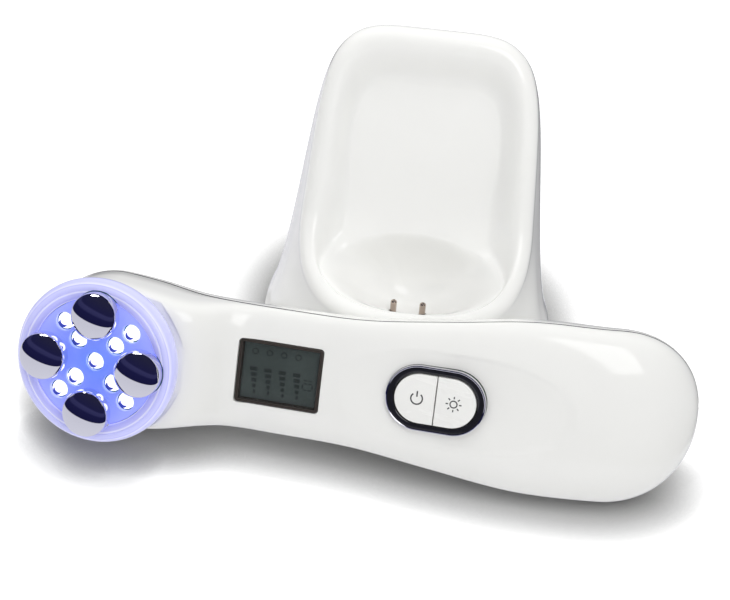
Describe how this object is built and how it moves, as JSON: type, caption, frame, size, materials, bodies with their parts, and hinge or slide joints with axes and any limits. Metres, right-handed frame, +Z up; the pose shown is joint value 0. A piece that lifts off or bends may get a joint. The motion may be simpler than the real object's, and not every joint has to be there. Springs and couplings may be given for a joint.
{
  "type": "facial toning device",
  "caption": "Handheld facial toning device with dome electrodes, a lit head, display and keys, lying in front of its upright charging cradle.",
  "frame": {"origin": "on the floor, in the middle of the bounding box of the cradle and the handset together", "axes": "+Z up; +X to the right along the row of cradle and handset, seen from the front; the cradle's cup and the handset's face look towards -Y"},
  "size_m": [0.2046, 0.1235, 0.0956],
  "materials": {
    "shell_white": "satin gloss",
    "lens_lavender": "translucent",
    "plate_blue": "gloss",
    "electrode_chrome": "mirror",
    "led_white": "gloss, lit",
    "board_green": "matte",
    "carrier_grey": "matte",
    "frame_dark": "gloss",
    "window_dark": "clear over dark",
    "lcd_grey": "matte",
    "rim_chrome": "mirror",
    "band_black": "gloss",
    "key_white": "satin",
    "switch_dark": "matte",
    "coil_brown": "matte",
    "battery_blue": "matte",
    "contact_gold": "polished",
    "pin_nickel": "polished",
    "holder_grey": "matte",
    "screw_steel": "plain",
    "cradle_white": "satin gloss",
    "inlet_black": "matte",
    "ballast_steel": "plain",
    "base_white": "matte",
    "pad_rubber": "matte"
  },
  "bodies": {
    "cradle": {"cradle_shell": "cradle_white", "contact_pins": "pin_nickel", "pin_holder": "holder_grey", "cradle_board": "board_green", "dc_inlet": "inlet_black", "ballast_plate": "ballast_steel", "base_plate": "base_white", "rubber_feet": "pad_rubber", "base_screws": "screw_steel"},
    "handset": {"front_shell": "shell_white", "rear_shell": "shell_white", "head_lens": "lens_lavender", "light_plate": "plate_blue", "electrodes": "electrode_chrome", "leds": "led_white", "led_board": "board_green", "head_carrier": "carrier_grey", "display_frame": "frame_dark", "display_window": "window_dark", "display_module": "lcd_grey", "key_rim": "rim_chrome", "key_band": "band_black", "key_switches": "switch_dark", "main_board": "board_green", "rf_transformer": "coil_brown", "battery": "battery_blue", "charge_sockets": "contact_gold", "socket_block": "holder_grey", "housing_screws": "screw_steel"},
    "power_key": {"power_key": "key_white"},
    "light_key": {"light_key": "key_white"}
  },
  "joints": [
    {"name": "handset_lift", "type": "slide", "parent": "cradle", "child": "handset", "axis": [0, 0, 1], "range_m": [0, 0.12]},
    {"name": "power_press", "type": "slide", "parent": "handset", "child": "power_key", "axis": [0.1395, 0.8808, -0.4524], "range_m": [0, 0.0006], "stiffness_N_per_m": 800, "springref_m": -0.0006},
    {"name": "light_press", "type": "slide", "parent": "handset", "child": "light_key", "axis": [0.1395, 0.8808, -0.4524], "range_m": [0, 0.0006], "stiffness_N_per_m": 800, "springref_m": -0.0006}
  ]
}
